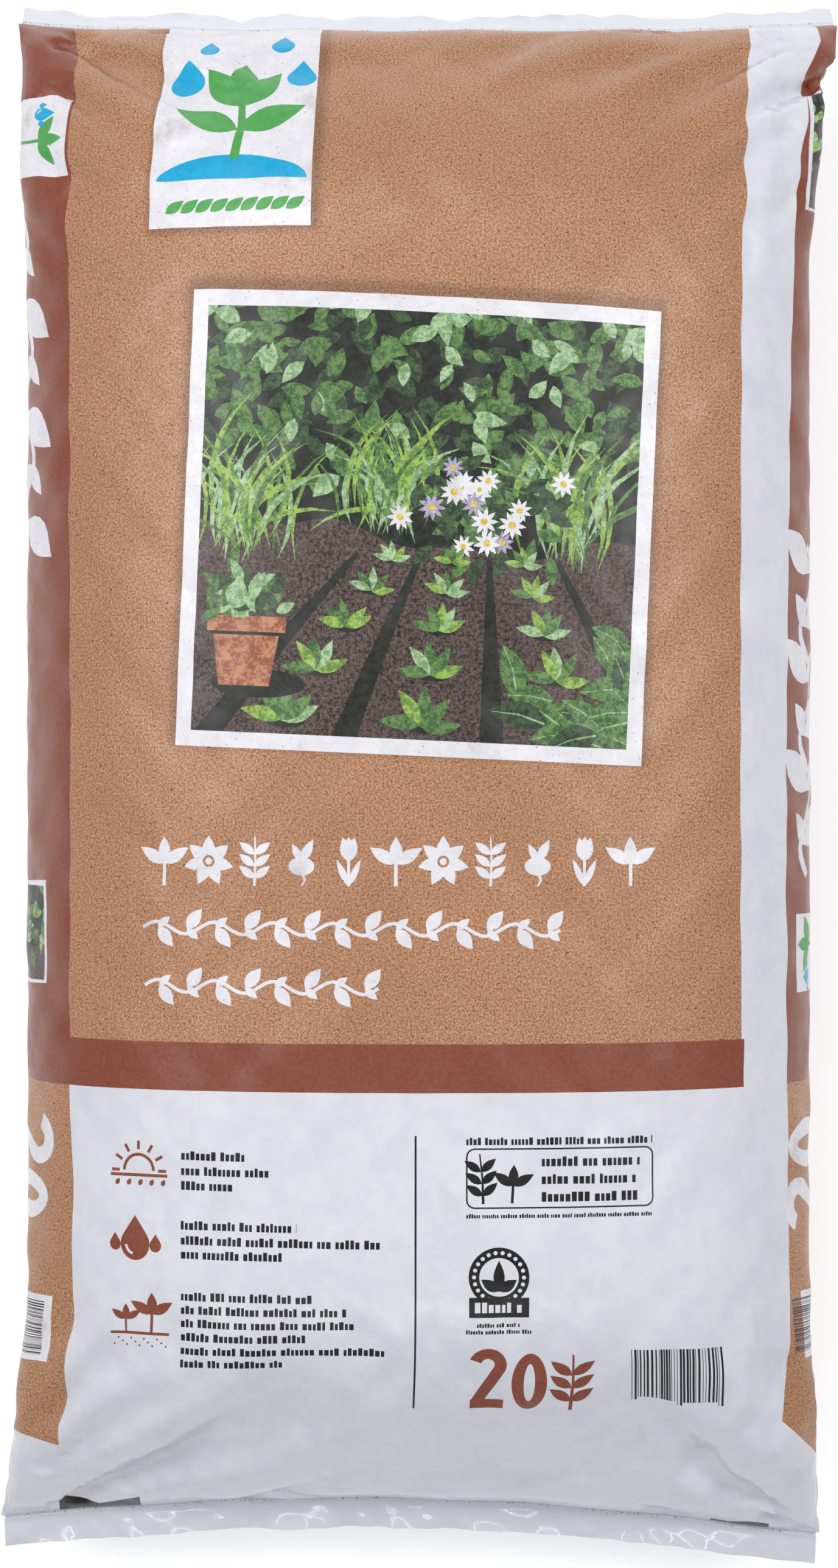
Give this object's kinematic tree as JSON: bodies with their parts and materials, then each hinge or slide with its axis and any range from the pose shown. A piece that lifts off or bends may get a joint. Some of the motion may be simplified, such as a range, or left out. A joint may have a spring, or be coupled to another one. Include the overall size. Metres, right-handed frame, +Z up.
{
  "type": "compost bag",
  "caption": "Filled compost bag of printed film with tucked side gussets, welded across both ends with short fins, lying on its back.",
  "frame": {"origin": "middle of the bag's bounding box on the floor it lies on, under the flat of its back", "axes": "+X across the bag to the right of its front, +Y along the bag towards its top end, +Z up out of the front panel"},
  "size_m": [0.3148, 0.5936, 0.14],
  "materials": {
    "printed_film": "satin printed polyethylene film"
  },
  "bodies": {
    "root": {"bag": "printed_film"}
  },
  "joints": []
}
